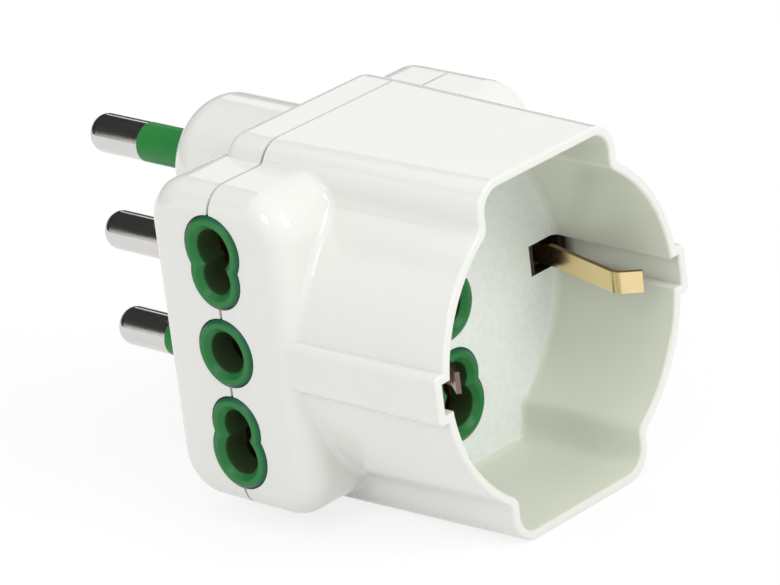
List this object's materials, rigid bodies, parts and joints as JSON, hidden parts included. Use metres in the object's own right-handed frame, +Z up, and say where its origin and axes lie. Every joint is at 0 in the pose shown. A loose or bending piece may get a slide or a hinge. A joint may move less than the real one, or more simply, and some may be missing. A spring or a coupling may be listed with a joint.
{
  "type": "multi socket adapter",
  "caption": "Three pin plug adapter: a white two part housing with green lined side sockets, and a round front recess with earth clips.",
  "frame": {"origin": "on the earth pin's axis, in the plug face", "axes": "+Y along the plug pins, away from the body; the front socket faces -Y; +Z up, along the row of pins"},
  "size_m": [0.0466, 0.0746, 0.0452],
  "materials": {
    "white_shell": "glossy moulded white",
    "green_insulation": "satin moulded green",
    "plated_pin": "bright nickel plate",
    "clip_brass": "bright rolled brass",
    "contact_brass": "satin stamped brass",
    "screw_steel": "zinc plated"
  },
  "bodies": {
    "root": {"rear_shell": "white_shell", "front_shell": "white_shell", "left_socket_insert": "green_insulation", "right_socket_insert": "green_insulation", "front_socket_insert": "green_insulation", "phase_pin_sleeve": "green_insulation", "neutral_pin_sleeve": "green_insulation", "phase_pin": "plated_pin", "neutral_pin": "plated_pin", "earth_pin": "plated_pin", "left_earth_clip": "clip_brass", "right_earth_clip": "clip_brass", "left_phase_contact": "contact_brass", "left_neutral_contact": "contact_brass", "left_earth_contact": "contact_brass", "right_phase_contact": "contact_brass", "right_neutral_contact": "contact_brass", "right_earth_contact": "contact_brass", "front_phase_contact": "contact_brass", "front_neutral_contact": "contact_brass", "front_earth_contact": "contact_brass", "phase_bar": "contact_brass", "neutral_bar": "contact_brass", "earth_bar": "contact_brass", "closing_screws": "screw_steel"}
  },
  "joints": []
}
